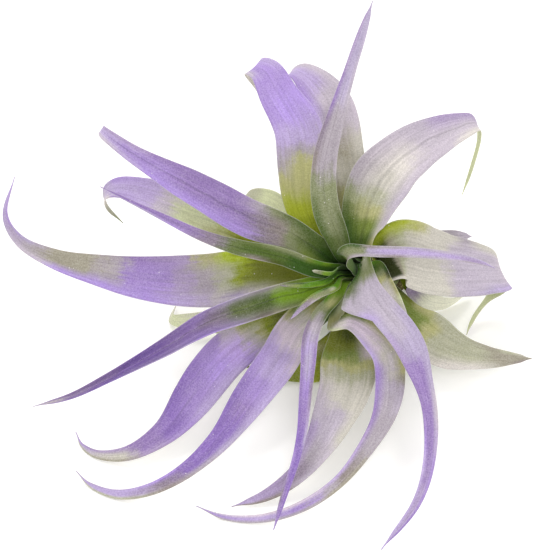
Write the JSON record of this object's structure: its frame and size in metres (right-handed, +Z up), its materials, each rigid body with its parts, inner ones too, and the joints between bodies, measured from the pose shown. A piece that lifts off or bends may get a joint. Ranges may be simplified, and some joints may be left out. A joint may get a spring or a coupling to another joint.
{
  "type": "broad-leaved air plant",
  "caption": "Violet-dyed air plant with broad channelled leaves that arch out of a lime-green heart, lying loose on a surface.",
  "frame": {"origin": "on the small flat spot under the stem's cut end, where the plant rests", "axes": "+Z up from the surface; the heart of the rosette leans towards -Y and -X, and the longest leaves run out to -X and -Y"},
  "size_m": [0.1601, 0.1642, 0.0804],
  "materials": {
    "violet_leaf": "matte, silvery scales over violet dye, lime-green towards the foot",
    "green_leaf": "matte, silvery scales over grey-green",
    "heart_leaf": "matte, fresh green with a little violet at the tip",
    "woody_stem": "dry, rough, brown"
  },
  "bodies": {
    "root": {"stem": "woody_stem", "leaf_top_left_arch": "violet_leaf", "leaf_top_back_arch": "violet_leaf", "leaf_right_upper_arch": "violet_leaf", "leaf_front_sickle": "violet_leaf", "leaf_curled_ribbon": "violet_leaf", "leaf_left_upper_long": "violet_leaf", "leaf_left_hanging_tip": "violet_leaf", "leaf_left_sweep": "violet_leaf", "leaf_left_double_fold": "violet_leaf", "leaf_front_left_floor": "violet_leaf", "leaf_front_left_long": "violet_leaf", "leaf_front_needle": "violet_leaf", "leaf_top_spear": "violet_leaf", "leaf_right_broad": "violet_leaf", "leaf_front_hook": "violet_leaf", "leaf_front_floor": "violet_leaf", "leaf_right_low": "green_leaf", "leaf_right_floor": "green_leaf", "leaf_right_hidden_tip": "green_leaf", "leaf_left_floor": "green_leaf", "leaf_back_left_floor": "green_leaf", "leaf_front_sheath": "green_leaf", "leaf_front_margin": "green_leaf", "leaf_left_channel": "green_leaf", "leaf_heart_a": "heart_leaf", "leaf_heart_b": "heart_leaf", "leaf_heart_c": "heart_leaf"}
  },
  "joints": []
}
